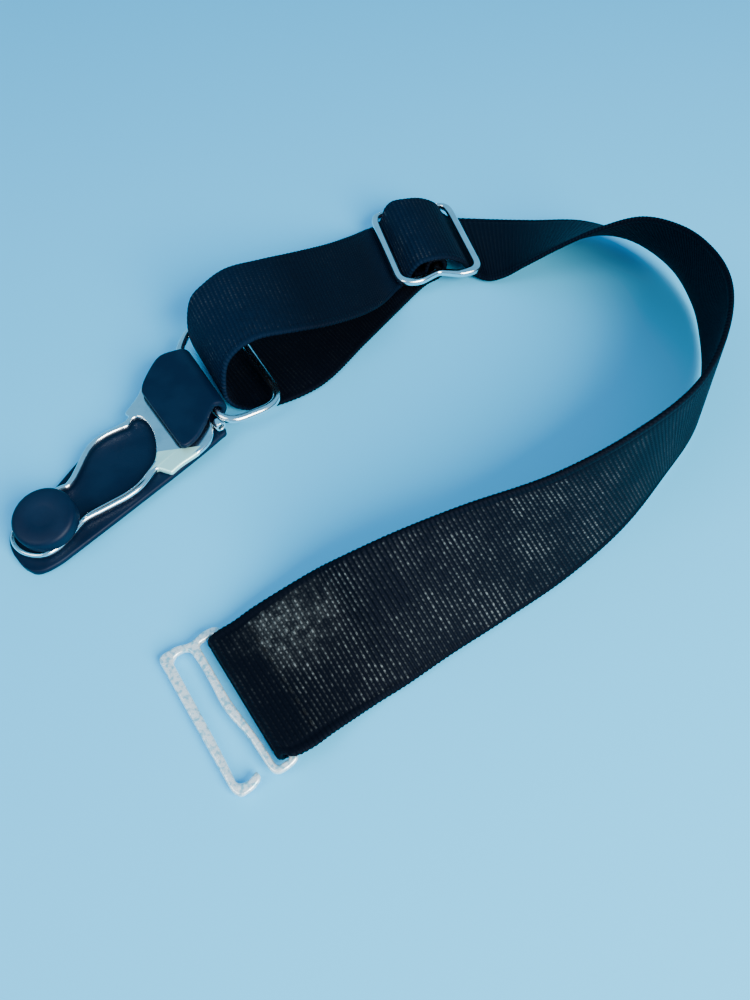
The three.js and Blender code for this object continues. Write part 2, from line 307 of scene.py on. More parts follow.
def added(name: str, data: bpy.types.ID) -> bpy.types.Object:
    """Adds an object that holds a mesh, curve, light or camera to the scene.

    Args:
        name: Name of the object.
        data: What it holds.

    Returns:
        The object.
    """
    thing = bpy.data.objects.new(name, data)
    bpy.context.scene.collection.objects.link(thing)
    return thing


def smooth(name: str, data: bpy.types.Mesh) -> bpy.types.Object:
    """Adds a mesh to the scene as a smooth piece."""
    data.polygons.foreach_set("use_smooth", [True] * len(data.polygons))
    return added(name, data)


def finished(name: str, mesh: bmesh.types.BMesh) -> bpy.types.Object:
    """Makes a bmesh in the frame's metres a smooth piece, and frees it.

    Args:
        name: Name of the piece.
        mesh: The bmesh.

    Returns:
        The piece.
    """
    data = bpy.data.meshes.new(name)
    mesh.to_mesh(data)
    mesh.free()
    return smooth(name, data)


def dress(
    piece: bpy.types.Object, material: bpy.types.Material, stands_for: str | None = None
) -> bpy.types.Object:
    """Gives a piece its finish and fastens it to the frame.

    Args:
        piece: The piece.
        material: Its finish.
        stands_for: The CAD node that it replaces, if it replaces one.

    Returns:
        The same piece.
    """
    piece.data.materials.clear()
    piece.data.materials.append(material)
    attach(piece, "root")
    if stands_for:
        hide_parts(stands_for)
    LOG.info("%s: %d faces", piece.name, len(piece.data.polygons))
    return piece


def wrapped_band(
    name: str,
    path: BandPath,
    rings: int,
    section: Callable[[int, float, float], list[SectionPoint]],
) -> bpy.types.Object:
    """Wraps a grid round the section of a band and closes its ends.

    The UV map holds the way along in x and across in y, both in metres. Two float attributes hold each
    section point's painted glint on the beads and painted blue sheen.

    Args:
        name: Name of the piece.
        path: The band's path.
        rings: How many sections it has.
        section: Gives the section's points from the ring's number, its length along and its reach.

    Returns:
        The piece.
    """
    lengths = [path.length * ring / (rings - 1) for ring in range(rings)]
    places = [path.place(length) for length in lengths]
    sections = [
        section(ring, length, place.reach)
        for ring, (length, place) in enumerate(zip(lengths, places))
    ]
    steps = len(sections[0])
    mesh = bmesh.new()
    bmesh.ops.create_grid(mesh, x_segments=rings - 1, y_segments=steps, size=1.0)
    weave = mesh.loops.layers.uv.new("weave")
    painted_glint, painted_sheen = (mesh.verts.layers.float.new(word) for word in ("painted_glint", "painted_sheen"))
    cells = {}
    for vert in mesh.verts:
        ring = round((vert.co.x + 1) / 2 * (rings - 1))
        step = round((vert.co.y + 1) / 2 * steps)
        cells[vert] = (ring, step)
    for vert, (ring, step) in cells.items():
        place, point = places[ring], sections[ring][step % steps]
        across = point.share * place.reach + point.shift
        vert.co = (place.middle + place.across * across + place.face * point.height - BASE_CENTRE) * MM
        vert[painted_glint], vert[painted_sheen] = point.painted_glint, point.painted_sheen
    for face in mesh.faces:
        for loop in face.loops:
            ring, step = cells[loop.vert]
            point = sections[ring][step % steps]
            across = point.share * places[ring].reach + point.shift
            loop[weave].uv = (lengths[ring] * MM, across * MM)
    bmesh.ops.remove_doubles(mesh, verts=mesh.verts, dist=1e-8)
    bmesh.ops.holes_fill(mesh, edges=[edge for edge in mesh.edges if edge.is_boundary])
    bmesh.ops.recalc_face_normals(mesh, faces=mesh.faces)
    return finished(name, mesh)


def rounded(corners: Sequence[Sequence[float]], steps: int = 8, most: float = 1 / 2.1) -> list[Vector]:
    """Makes a closed outline with rounded corners.

    Args:
        corners: Each corner's place, then the length that its rounding takes on each side.
        steps: Points in each corner.
        most: Largest share of a side that a rounding takes.

    Returns:
        The outline's points.
    """
    points = []
    places = [Vector(corner[:-1]) for corner in corners]
    for index, (corner, (*_, radius)) in enumerate(zip(places, corners)):
        if radius == 0:
            points.append(corner)
            continue
        ways = (places[index - 1] - corner, places[(index + 1) % len(places)] - corner)
        start, end = (corner + way.normalized() * min(radius, way.length * most) for way in ways)
        for step in range(steps + 1):
            share = step / steps
            points.append(start * (1 - share) ** 2 + corner * 2 * share * (1 - share) + end * share**2)
    return points


def spun(profile: Sequence[tuple[float, float]], steps: int, closed: bool) -> bmesh.types.BMesh:
    """Spins a profile round the Z axis.

    Args:
        profile: Radius and height of each point.
        steps: Faces round the axis.
        closed: True where the profile's ends join.

    Returns:
        The bmesh, with its normals outward, in the profile's millimetres.
    """
    mesh = bmesh.new()
    verts = [mesh.verts.new((radius, 0.0, height)) for radius, height in profile]
    pairs = zip(verts[-1:] + verts, verts) if closed else zip(verts, verts[1:])
    edges = [mesh.edges.new(pair) for pair in pairs]
    bmesh.ops.spin(
        mesh, geom=verts + edges, cent=(0, 0, 0), axis=(0, 0, 1), angle=math.tau, steps=steps, use_merge=True
    )
    bmesh.ops.remove_doubles(mesh, verts=mesh.verts, dist=MERGE)
    bmesh.ops.recalc_face_normals(mesh, faces=mesh.faces)
    return mesh


def pressed_plate(
    name: str, outlines: Sequence[Sequence[Vector]], thickness: float, rounding: float, place: Matrix
) -> bpy.types.Object:
    """Makes a stamped plate with rounded edges from its outline and holes.

    Args:
        name: Name of the piece.
        outlines: The outline, then the holes.
        thickness: From the underside at height 0 to the top.
        rounding: Radius of the edges.
        place: Where the plate goes, in millimetres.

    Returns:
        The piece.
    """
    curve = bpy.data.curves.new(name, "CURVE")
    curve.dimensions = "2D"
    curve.fill_mode = "BOTH"
    curve.extrude = thickness / 2 - rounding
    curve.bevel_depth = rounding
    curve.bevel_resolution = 4
    curve.offset = -rounding
    for points in outlines:
        closed_line(curve, points)
    return from_curve(name, curve, place @ Matrix.Translation((0, 0, thickness / 2)))


def closed_line(curve: bpy.types.Curve, points: Sequence[Vector]) -> None:
    """Adds a closed line to a curve.

    Args:
        curve: The curve.
        points: The line's points, in two or three dimensions.
    """
    spline = curve.splines.new("POLY")
    spline.points.add(len(points) - 1)
    for target, point in zip(spline.points, points):
        target.co = (*point.to_3d(), 1.0)
    spline.use_cyclic_u = True


def wire(name: str, points: Sequence[Vector], radius: float) -> bpy.types.Object:
    """Makes a ring of round wire.

    Args:
        name: Name of the piece.
        points: The wire's middle line on the floor's axes.
        radius: The wire's radius.

    Returns:
        The piece.
    """
    curve = bpy.data.curves.new(name, "CURVE")
    curve.dimensions = "3D"
    curve.bevel_depth = radius
    curve.bevel_resolution = 6
    closed_line(curve, points)
    return from_curve(name, curve, Matrix.Identity(4))


def from_curve(name: str, curve: bpy.types.Curve, place: Matrix) -> bpy.types.Object:
    """Turns a curve into a mesh piece in its place.

    Args:
        name: Name of the piece.
        curve: The curve, in millimetres.
        place: Where it goes, in millimetres on the floor's axes.

    Returns:
        The piece.
    """
    holder = added(name + "_curve", curve)
    bpy.context.view_layer.update()
    data = bpy.data.meshes.new_from_object(holder)
    data.name = name
    bpy.data.objects.remove(holder)
    mesh = bmesh.new()
    mesh.from_mesh(data)
    bmesh.ops.remove_doubles(mesh, verts=mesh.verts, dist=MERGE)
    bmesh.ops.transform(mesh, matrix=to_frame(place), verts=mesh.verts)
    bmesh.ops.recalc_face_normals(mesh, faces=mesh.faces)
    mesh.to_mesh(data)
    mesh.free()
    return smooth(name, data)


class Nodes:
    """A short way to write a material's node tree."""

    def __init__(self, name: str) -> None:
        """Makes an empty material with its output and shader.

        Args:
            name: Name of the material.
        """
        self.material = bpy.data.materials.new(name)
        self.material.use_nodes = True
        self.tree = self.material.node_tree
        self.tree.nodes.clear()
        output = self.tree.nodes.new("ShaderNodeOutputMaterial")
        self.shader = self.tree.nodes.new("ShaderNodeBsdfPrincipled")
        self.tree.links.new(self.shader.outputs["BSDF"], output.inputs["Surface"])

    def put(self, socket: bpy.types.NodeSocket, value: object) -> None:
        """Links a socket to another's output, or sets its value.

        Args:
            socket: The socket.
            value: An output, or a number, vector or colour.
        """
        if isinstance(value, bpy.types.NodeSocket):
            self.tree.links.new(value, socket)
        else:
            socket.default_value = value

    def look(self, sockets: dict[str, object]) -> None:
        """Gives the shader's named sockets their values or links."""
        for name, value in sockets.items():
            self.put(self.shader.inputs[name], value)

    def maths(self, operation: str, *values: object) -> bpy.types.NodeSocket:
        """Adds a Math node.

        Args:
            operation: Its operation.
            values: Its inputs in order, each an output or a number.

        Returns:
            Its output.
        """
        node = self.tree.nodes.new("ShaderNodeMath")
        node.operation = operation
        for socket, value in zip(node.inputs, values):
            self.put(socket, value)
        return node.outputs[0]

    def times(self, *values: object) -> bpy.types.NodeSocket:
        """Multiplies values in order.

        Args:
            values: The values, each an output or a number.

        Returns:
            Their product.
        """
        product, *others = values
        for value in others:
            product = self.maths("MULTIPLY", product, value)
        return product

    def wave(self, count: bpy.types.NodeSocket) -> bpy.types.NodeSocket:
        """Gives a wave from -1 to 1 with its crests at whole counts."""
        return self.maths("COSINE", self.times(count, math.tau))

    def luck(self, dimensions: str, socket: str, value: bpy.types.NodeSocket) -> bpy.types.NodeSocket:
        """Gives each value a fixed random number from 0 to 1.

        Args:
            dimensions: How many numbers a value has, as the node names it.
            socket: The node's input for it.
            value: The value.

        Returns:
            The number.
        """
        node = self.tree.nodes.new("ShaderNodeTexWhiteNoise")
        node.noise_dimensions = dimensions
        self.put(node.inputs[socket], value)
        return node.outputs["Value"]

    def ramp(self, value: bpy.types.NodeSocket, low: float, high: float) -> bpy.types.NodeSocket:
        """Adds a smooth step from 0 at low to 1 at high.

        Args:
            value: The value that decides.
            low: Where the step starts.
            high: Where it ends.

        Returns:
            The step.
        """
        node = self.tree.nodes.new("ShaderNodeMapRange")
        node.interpolation_type = "SMOOTHSTEP"
        self.put(node.inputs["Value"], value)
        node.inputs["From Min"].default_value, node.inputs["From Max"].default_value = low, high
        return node.outputs["Result"]

    def span(self, value: bpy.types.NodeSocket, low: float, high: float) -> bpy.types.NodeSocket:
        """Maps a value from 0 to 1 onto the range from low to high.

        Args:
            value: The value.
            low: What 0 becomes.
            high: What 1 becomes.

        Returns:
            The mapped value.
        """
        node = self.tree.nodes.new("ShaderNodeMapRange")
        self.put(node.inputs["Value"], value)
        node.inputs["To Min"].default_value, node.inputs["To Max"].default_value = low, high
        return node.outputs["Result"]

    def blend(self, factor: object, first: object, second: object) -> bpy.types.NodeSocket:
        """Mixes two colours or sockets, from the first at factor 0 to the second at 1.

        Args:
            factor: The share of the second.
            first: A colour or an output.
            second: Another.

        Returns:
            The mixed colour.
        """
        node = self.tree.nodes.new("ShaderNodeMix")
        node.data_type = "RGBA"
        colours = [socket for socket in node.inputs if socket.type == "RGBA"]
        for socket, value in zip((node.inputs[0], *colours), (factor, first, second)):
            self.put(socket, value)
        return next(socket for socket in node.outputs if socket.type == "RGBA")

    def noise(self, scale: float, detail: float = 3.0) -> bpy.types.NodeSocket:
        """Adds a noise on Object coordinates.

        Args:
            scale: Its scale in a metre.
            detail: How many finer layers it has.

        Returns:
            The noise, from 0 to 1.
        """
        node = self.tree.nodes.new("ShaderNodeTexNoise")
        node.inputs["Scale"].default_value = scale
        node.inputs["Detail"].default_value = detail
        self.put(node.inputs["Vector"], self.tree.nodes.new("ShaderNodeTexCoord").outputs["Object"])
        return node.outputs["Fac"]

    def attribute(self, name: str) -> bpy.types.NodeSocket:
        """Reads a number that the mesh keeps at each vertex.

        Args:
            name: Name of the attribute.

        Returns:
            The number.
        """
        node = self.tree.nodes.new("ShaderNodeAttribute")
        node.attribute_name = name
        return node.outputs["Fac"]

    def bump(self, height: bpy.types.NodeSocket, distance: float) -> None:
        """Adds a bump of a real height in metres to the shader's normal.

        Args:
            height: The pattern, from 0 to 1.
            distance: Its height.
        """
        node = self.tree.nodes.new("ShaderNodeBump")
        node.inputs["Strength"].default_value = 1.0
        node.inputs["Distance"].default_value = distance
        self.put(node.inputs["Height"], height)
        self.look({"Normal": node.outputs["Normal"]})


@dataclass(frozen=True)
class WebbingFinish:
    """Black elastic webbing with cross ribs that break into small grey beads."""

    ground: Colour = (0.0012, 0.0018, 0.0036, 1.0)
    thread: Colour = (0.13, 0.14, 0.13, 1.0)
    # Painted blue sheen: the ground is blended toward this colour where the strap would reflect the blue
    # sky.
    painted_sheen_colour: Colour = (0.0014, 0.0085, 0.022, 1.0)
    rib_pitch: float = 0.86 * MM
    rib_height: float = 0.12 * MM
    bead_pitch: float = 0.84 * MM
    bead_low: float = 0.24
    bead_edge: tuple[float, float] = (-0.5, 0.8)
    bead_wander: float = 0.6
    bead_span: tuple[float, float] = (0.2, 1.2)
    rib_span: tuple[float, float] = (0.7, 1.15)
    patch_edge: tuple[float, float] = (0.36, 0.66)
    patch_span: tuple[float, float] = (0.2, 1.0)
    lint_edge: tuple[float, float] = (0.35, 0.65)
    lint_span: tuple[float, float] = (0.45, 1.3)
    selvedge: float = 10.6 * MM
    selvedge_blur: float = 0.3 * MM
    # A painted highlight on the beads beyond the hem: its middle and size, how far it fills the beads and
    # how much it brightens them.
    glint_along: float = 22.0 * MM
    glint_across: float = 7.5 * MM
    glint_length: float = 12.0 * MM
    glint_width: float = 11.0 * MM
    glint_fill: float = 0.16
    glint_gain: float = 1.6
    lint_scale: float = 4200.0
    yarn_scale: float = 900.0
    yarn_span: tuple[float, float] = (0.5, 1.3)
    patch_scale: float = 130.0

    def _bead_count(
        self, nodes: Nodes, across: bpy.types.NodeSocket, row: bpy.types.NodeSocket
    ) -> bpy.types.NodeSocket:
        """Counts beads across a rib, half a bead on from rib to rib and wandering a little.

        Args:
            nodes: The material's nodes.
            across: The way across the strap.
            row: The rib's number.

        Returns:
            The count, whole at each bead's middle.
        """
        slip = nodes.luck("1D", "W", row)
        wander = nodes.maths("MULTIPLY_ADD", nodes.noise(self.yarn_scale, 2.0), 1.4, slip)
        brick = nodes.maths("MULTIPLY_ADD", row, 0.5, nodes.times(wander, self.bead_wander))
        return nodes.maths("ADD", nodes.maths("DIVIDE", across, self.bead_pitch), brick)

    def _painted_glint_patch(
        self, nodes: Nodes, along: bpy.types.NodeSocket, across: bpy.types.NodeSocket
    ) -> bpy.types.NodeSocket:
        """Gives the painted glint: a soft patch beyond the hem where the beads are painted brightest,
        standing in for a highlight.

        Args:
            nodes: The material's nodes.
            along: The way along the strap.
            across: The way across it.

        Returns:
            From 0 outside the patch to 1 in its middle.
        """
        ahead = nodes.maths("DIVIDE", nodes.maths("SUBTRACT", along, self.glint_along), self.glint_length)
        aside = nodes.maths("DIVIDE", nodes.maths("SUBTRACT", across, self.glint_across), self.glint_width)
        spread = nodes.maths("ADD", nodes.maths("POWER", ahead, 2.0), nodes.maths("POWER", aside, 2.0))
        return nodes.ramp(spread, 1.0, 0.0)

    def _liveliness(
        self,
        nodes: Nodes,
        row: bpy.types.NodeSocket,
        bead_count: bpy.types.NodeSocket,
        fuzz: bpy.types.NodeSocket,
    ) -> bpy.types.NodeSocket:
        """Varies the beads' brightness by bead, by rib, by patch and by lint.

        Args:
            nodes: The material's nodes.
            row: The rib's number.
            bead_count: The count of beads across the rib.
            fuzz: Noise as fine as lint.

        Returns:
            The factor on the brightness.
        """
        cell = nodes.tree.nodes.new("ShaderNodeCombineXYZ")
        nodes.put(cell.inputs[0], row)
        nodes.put(cell.inputs[1], nodes.maths("ROUND", bead_count))
        bead_luck = nodes.luck("2D", "Vector", cell.outputs[0])
        rib_luck = nodes.luck("1D", "W", nodes.maths("ADD", row, 0.37))
        return nodes.times(
            nodes.span(nodes.maths("POWER", bead_luck, 1.6), *self.bead_span),
            nodes.span(nodes.ramp(nodes.noise(self.patch_scale), *self.patch_edge), *self.patch_span),
            nodes.span(rib_luck, *self.rib_span),
            nodes.span(nodes.ramp(fuzz, *self.lint_edge), *self.lint_span),
        )

    def material(self) -> bpy.types.Material:
        """Makes the material, which reads the piece's UV map and its two attributes.

        Returns:
            The material.
        """
        nodes = Nodes("elastic_webbing")
        place = nodes.tree.nodes.new("ShaderNodeUVMap")
        place.uv_map = "weave"
        split = nodes.tree.nodes.new("ShaderNodeSeparateXYZ")
        nodes.put(split.inputs[0], place.outputs["UV"])
        along, across = split.outputs["X"], split.outputs["Y"]
        rib_count = nodes.maths("DIVIDE", along, self.rib_pitch)
        row, rib = nodes.maths("ROUND", rib_count), nodes.wave(rib_count)
        bead_count = self._bead_count(nodes, across, row)
        # The painted glint patch beyond the hem, which fills and brightens the beads there.
        bright = self._painted_glint_patch(nodes, along, across)
        fuzz = nodes.noise(self.lint_scale, 2.0)
        strand = nodes.span(nodes.ramp(nodes.wave(bead_count), *self.bead_edge), self.bead_low, 1.0)
        crown = nodes.times(nodes.ramp(rib, 0.0, 0.9), strand)
        crown = nodes.maths("MAXIMUM", crown, nodes.times(bright, self.glint_fill))
        edge = self.selvedge + self.selvedge_blur
        face = nodes.ramp(nodes.maths("ABSOLUTE", across), edge, self.selvedge)
        # The beads' painted glint, brighter where light falls on that part of the strap.
        painted_glint = nodes.times(nodes.attribute("painted_glint"), nodes.span(bright, 1.0, self.glint_gain))
        shown = nodes.times(crown, self._liveliness(nodes, row, bead_count, fuzz), face, painted_glint)
        yarn = nodes.span(nodes.noise(self.yarn_scale), *self.yarn_span)
        # Painted blue sheen: the ground turns bluer by the second attribute, a painted reflection of the
        # sky.
        ground = nodes.blend(nodes.times(nodes.attribute("painted_sheen"), yarn), self.ground, self.painted_sheen_colour)
        nodes.look({
            "Base Color": nodes.blend(shown, ground, self.thread),
            "Roughness": nodes.span(shown, 0.62, 0.42),
            "Specular IOR Level": 0.07,
            "Specular Tint": (0.5, 0.65, 1.0, 1.0),
            "Sheen Weight": 0.006,
            "Sheen Roughness": 0.4,
            "Sheen Tint": (0.3, 0.5, 1.0, 1.0),
        })
        ribs = nodes.maths("MULTIPLY_ADD", rib, 0.5, nodes.times(crown, face, 0.6))
        nodes.bump(nodes.maths("MULTIPLY_ADD", fuzz, 0.5, ribs), self.rib_height)
        return nodes.material


@dataclass(frozen=True)
class MetalFinish:
    """Nickel plate with a fine grain, cloudy tarnish that on the satin finish is also a painted cyan
    reflection of the floor, and, where a piece says so, a painted highlight.
    """

    name: str
    colour: Colour
    tarnish_and_reflection: Colour
    cloud_scale: float
    smooth: float
    rough: float
    grain_height: float
    metallic: float = 1.0
    grain_scale: float = 1500.0
    cloud_edge: tuple[float, float] = (0.42, 0.68)
    # A painted highlight: a pale green, half as metallic and rougher patch where a piece marks one.
    painted_highlight_colour: Colour = (0.50, 0.92, 0.80, 1.0)
    painted_highlight_roughness: float = 0.2

    def material(self) -> bpy.types.Material:
        """Makes the material, which reads the piece's attribute that marks its painted highlight.

        Returns:
            The material.
        """
        nodes = Nodes(self.name)
        wear_and_painted_highlight, cloudy = nodes.attribute("wear_and_painted_highlight"), nodes.noise(self.cloud_scale, 4.0)
        # Cloudy tarnish; on the satin finish its cyan is also a painted reflection of the blue floor.
        clouded = nodes.blend(nodes.ramp(cloudy, *self.cloud_edge), self.colour, self.tarnish_and_reflection)
        polish = nodes.span(cloudy, self.smooth, self.rough)
        # Where a piece marks a painted highlight, the plate turns pale green, half as metallic and rougher.
        nodes.look({
            "Metallic": nodes.span(wear_and_painted_highlight, self.metallic, 0.5 * self.metallic),
            "Base Color": nodes.blend(wear_and_painted_highlight, clouded, self.painted_highlight_colour),
            "Roughness": nodes.maths("MULTIPLY_ADD", wear_and_painted_highlight, self.painted_highlight_roughness, polish),
        })
        nodes.bump(nodes.noise(self.grain_scale), self.grain_height)
        return nodes.material


@dataclass(frozen=True)
class RubberFinish:
    """Matte blue-black rubber with a fine moulded grain."""

    colour: Colour = (0.0006, 0.0068, 0.022, 1.0)
    # A lighter tone of worn rubber in random patches.
    wear_and_painted_highlight: Colour = (0.0012, 0.0105, 0.029, 1.0)
    cloud_scale: float = 180.0
    cloud_edge: tuple[float, float] = (0.35, 0.7)
    polish: tuple[float, float] = (0.40, 0.52)
    grain_scale: float = 2600.0
    grain_height: float = 0.02 * MM

    def material(self) -> bpy.types.Material:
        """Makes the material.

        Returns:
            The material.
        """
        nodes = Nodes("clip_rubber")
        clouds = nodes.noise(self.cloud_scale, 5.0)
        nodes.look({
            "Base Color": nodes.blend(nodes.ramp(clouds, *self.cloud_edge), self.colour, self.wear_and_painted_highlight),
            "Roughness": nodes.span(clouds, *self.polish),
            "Specular IOR Level": 0.14,
        })
        nodes.bump(nodes.noise(self.grain_scale), self.grain_height)
        return nodes.material


@dataclass(frozen=True)
class ThreadFinish:
    """Black sewing thread."""

    colour: Colour = (0.010, 0.012, 0.014, 1.0)
    shade: Colour = (0.004, 0.0048, 0.0056, 1.0)
    twist_scale: float = 3000.0
    twist_edge: tuple[float, float] = (0.4, 0.6)
    twist_height: float = 0.04 * MM

    def material(self) -> bpy.types.Material:
        """Makes the material.

        Returns:
            The material.
        """
        nodes = Nodes("sewing_thread")
        twist = nodes.noise(self.twist_scale, 2.0)
        nodes.look({
            "Base Color": nodes.blend(nodes.ramp(twist, *self.twist_edge), self.shade, self.colour),
            "Roughness": 0.8,
            "Specular IOR Level": 0.1,
        })
        nodes.bump(twist, self.twist_height)
        return nodes.material


@dataclass(frozen=True)
class FloorFinish:
    """A plain pale blue floor."""

    colour: Colour = (0.07, 0.60, 0.93, 1.0)

    def material(self) -> bpy.types.Material:
        """Makes the material.

        Returns:
            The material.
        """
        nodes = Nodes("floor")
        nodes.look({"Base Color": self.colour, "Roughness": 0.7, "Specular IOR Level": 0.2})
        return nodes.material


@dataclass
class Placed:
    """A sub-assembly with its own axes: x, y and z on the floor's, a heading and a rise of its own x."""

    x: float
    y: float
    z: float
    heading: float
    rise: float

    @property
    def place(self) -> Matrix:
        """Its place on the floor's axes.

        Returns:
            The move from its own millimetres to the floor's.
        """
        turn = Matrix.Rotation(math.radians(self.heading), 4, "Z")
        rise = Matrix.Rotation(-math.radians(self.rise), 4, "Y")
        return Matrix.Translation((self.x, self.y, self.z)) @ turn @ rise

    def row_at(self, along: float, side: float, z: float, span: Vector) -> tuple[Vector, Vector]:
        """Places a row of the strap.

        Args:
            along: Distance from here along the heading.
            side: Distance to the left of the heading.
            z: Height over the floor.
            span: From edge to edge of the strap.

        Returns:
            The row's middle and span.
        """
        middle = Vector((self.x, self.y, z)) + unit(self.heading) * along
        return middle + unit(self.heading + 90) * side, span


@dataclass
class Hook(Placed):
    """The stamped end hook, placed by the middle of the strap's fold."""

    x: float = -21.05
    y: float = 56.35
    z: float = 1.32
    heading: float = 33.5
    rise: float = 6.5
    thickness: float = 1.1
    rounding: float = 0.4
    outline: Outline = (
        (-8.1, -13.4, 2.6), (-4.9, -13.4, 1.2), (-3.3, -12.6, 0.7), (-3.5, -11.2, 0.6), (-5.2, -12.0, 0.8),
        (-6.9, -11.4, 0.9), (-6.5, -5.0, 4.0), (-6.2, 12.6, 1.5), (-3.0, 12.6, 1.5), (-2.7, 7.6, 3.0),
        (-3.15, -0.4, 2.5), (-2.0, -6.0, 3.0), (-1.8, -13.6, 2.0), (1.0, -13.9, 1.4), (3.2, -13.2, 1.8),
        (3.2, 13.3, 1.8), (0.4, 14.0, 1.4), (-2.3, 13.2, 1.2), (-4.4, 14.2, 1.4), (-8.0, 14.2, 1.3),
    )
    slot: Outline = (
        (-1.35, 12.3, 0.8), (1.7, 12.3, 0.6), (1.7, -12.6, 0.6), (-0.6, -12.6, 0.8), (-0.8, -7.0, 2.0),
        (-1.5, 0.5, 2.0),
    )

    def hem_row(self, row: HemRow) -> tuple[Vector, Vector]:
        """Places a row of the hem from its distance to the fold."""
        return self.row_at(row.along, row.side, row.z, unit(self.heading + 90, row.lift) * row.width)

    def build(self, metal: bpy.types.Material) -> bpy.types.Object:
        """Builds the hook.

        Args:
            metal: Its finish.

        Returns:
            The piece.
        """
        outlines = [rounded(self.outline), rounded(self.slot)]
        plate = pressed_plate("hook_plate", outlines, self.thickness, self.rounding, self.place)
        return dress(plate, metal, "end_hook")


@dataclass
class Slider(Placed):
    """The figure-eight slider, placed by the middle of its middle bar."""

    x: float = 11.5
    y: float = 168.5
    z: float = 3.0
    heading: float = 15.0
    rise: float = 0.0
    thickness: float = 1.6
    rounding: float = 0.65
    edge: Outline = ((-10.1, -13.0, 3.6), (-5.05, -14.1, 3.2), (-1.6, -12.5, 1.2))
    waist: tuple[float, float, float] = (0.0, -11.9, 0.6)
    opening: Outline = ((0.85, 10.7, 0.5), (5.05, 12.2, 2.6), (8.4, 11.6, 2.2))
    far_trim: float = 0.6

    def strap_row(self, row: SliderRow) -> tuple[Vector, Vector]:
        """Places a row of the strap from its run and side on the slider."""
        return self.row_at(row.run, row.side, row.z, unit(self.heading - 90) * row.width)

    def _outlines(self) -> list[list[Vector]]:
        """Gives the outline and the two openings.

        Returns:
            The three outlines on the slider's axes.
        """
        near = [*self.edge, self.waist, *((-x, y, radius) for x, y, radius in reversed(self.edge))]
        far = [(-x, -y - self.far_trim, radius) for x, y, radius in near]
        outlines = [rounded(near + far)]
        for sign in (-1, 1):
            half = [(sign * x, y, radius) for x, y, radius in self.opening]
            outlines.append(rounded(half + [(x, -y, radius) for x, y, radius in reversed(half)]))
        return outlines

    def build(self, metal: bpy.types.Material) -> bpy.types.Object:
        """Builds the slider.

        Args:
            metal: Its finish.

        Returns:
            The piece.
        """
        plate = pressed_plate("slider_frame", self._outlines(), self.thickness, self.rounding, self.place)
        return dress(plate, metal, "strap_slider")


